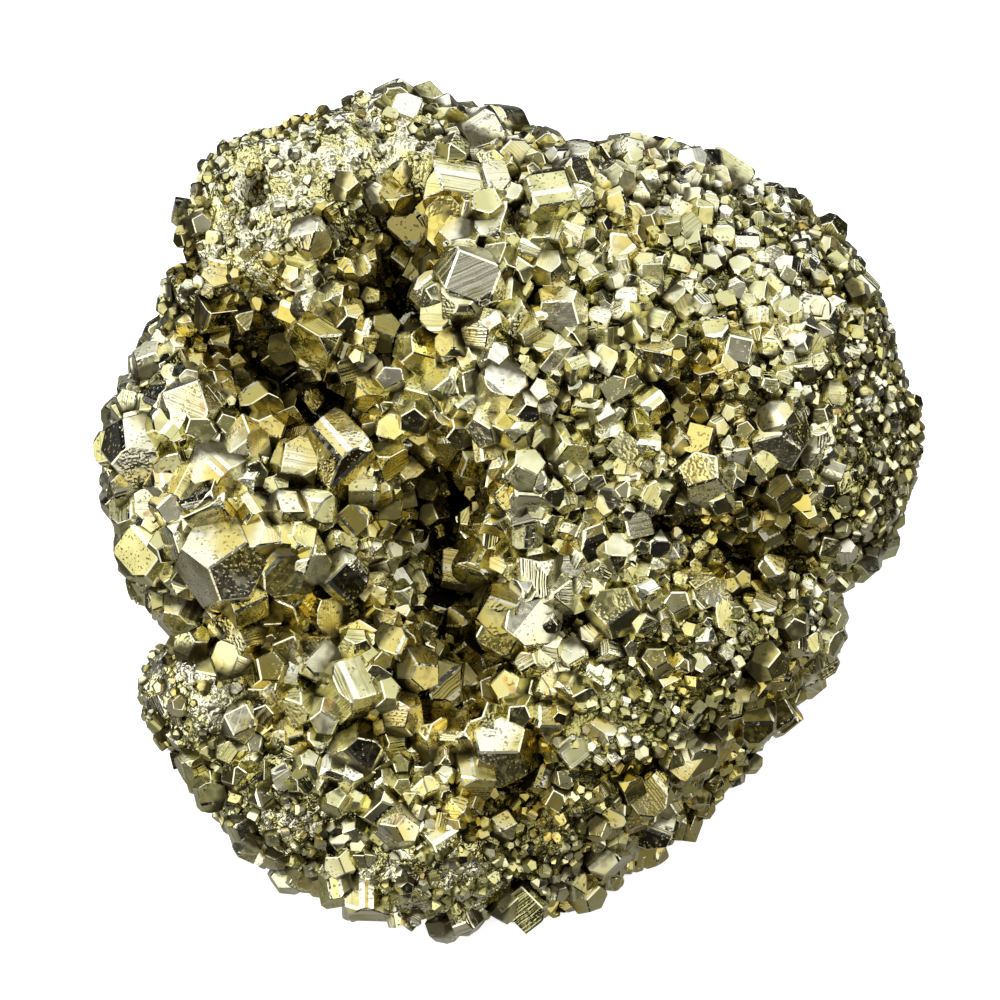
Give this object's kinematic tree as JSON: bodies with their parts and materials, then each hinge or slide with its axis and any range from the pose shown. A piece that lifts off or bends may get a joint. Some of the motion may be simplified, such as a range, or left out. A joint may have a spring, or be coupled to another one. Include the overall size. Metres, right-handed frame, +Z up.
{
  "type": "pyrite specimen",
  "caption": "Natural pyrite cluster: a rounded lump of intergrown brassy crystals with flat faces, valleys and ridges, resting on its flat broken base.",
  "frame": {"origin": "centre of the specimen's bounding box, at the flat broken base", "axes": "+Z up out of the base, +Y away from the viewer of the crystal-covered front, +X to that viewer's right"},
  "size_m": [0.0846, 0.0786, 0.0483],
  "materials": {
    "pyrite": "bright metallic crystal faces, pale brassy gold, striped and pitted, with amber tarnish in the hollows"
  },
  "bodies": {
    "root": {"pyrite_cluster": "pyrite"}
  },
  "joints": []
}
